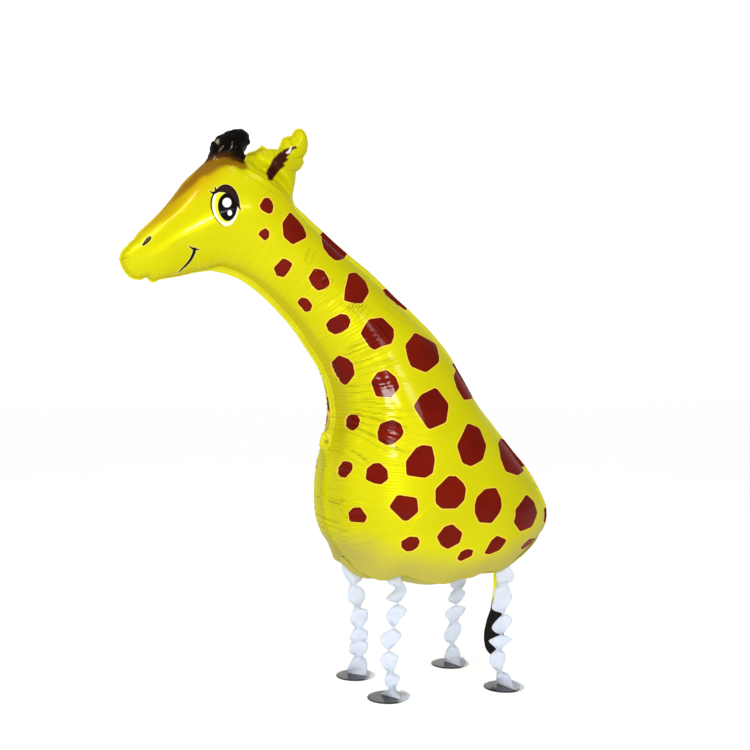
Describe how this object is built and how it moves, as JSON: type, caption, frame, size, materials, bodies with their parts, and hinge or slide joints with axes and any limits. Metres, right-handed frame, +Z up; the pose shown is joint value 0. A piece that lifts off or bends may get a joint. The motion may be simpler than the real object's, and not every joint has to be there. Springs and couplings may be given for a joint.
{
  "type": "giraffe foil balloon",
  "caption": "Inflated giraffe-shaped foil balloon with a long neck, horn, ear and spotted coat, standing on folded paper strip legs with round card feet, with a flat tufted tail.",
  "frame": {"origin": "on the floor, under the middle of the bounding box", "axes": "+Z up, the giraffe faces -X, its right side is towards +Y"},
  "size_m": [0.597, 0.2344, 0.7307],
  "materials": {
    "yellow_foil": "printed metallised film, glossy yellow with dark red-brown spots",
    "white_paper": "thin satin white paper strip, slightly see-through",
    "dark_card": "dark card with a glossy, partly mirror-like face",
    "tail_film": "flat printed film, yellow above and black at the tuft"
  },
  "bodies": {
    "root": {"foil_envelope": "yellow_foil", "paper_leg_front_left": "white_paper", "paper_leg_front_right": "white_paper", "paper_leg_rear_left": "white_paper", "paper_leg_rear_right": "white_paper", "card_foot_front_left": "dark_card", "card_foot_front_right": "dark_card", "card_foot_rear_left": "dark_card", "card_foot_rear_right": "dark_card", "tail": "tail_film"}
  },
  "joints": []
}
